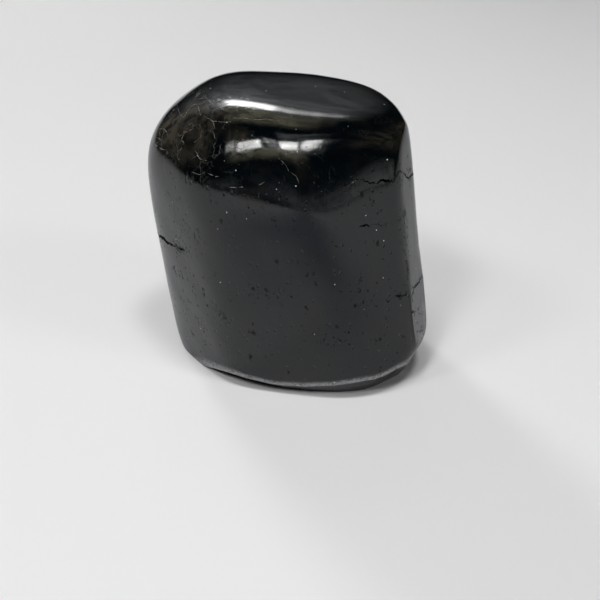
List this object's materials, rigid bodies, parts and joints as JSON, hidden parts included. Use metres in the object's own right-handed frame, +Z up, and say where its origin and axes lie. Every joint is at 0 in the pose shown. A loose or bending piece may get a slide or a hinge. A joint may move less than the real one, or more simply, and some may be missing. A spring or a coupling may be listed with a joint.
{
  "type": "black tourmaline stone",
  "caption": "Polished black tourmaline: a short leaning column with softly worn faces, a domed shoulder and a flat foot.",
  "frame": {"origin": "on the surface that the stone stands on, under the middle of its bounding box", "axes": "+Z up from the flat foot to the top, +X to the right across the broad front, +Y from the front to the back; the crystal's long axis leans 7 degrees from +Z towards -X"},
  "size_m": [0.0392, 0.0298, 0.0403],
  "materials": {
    "polished_tourmaline": "polished"
  },
  "bodies": {
    "root": {"stone": "polished_tourmaline"}
  },
  "joints": []
}
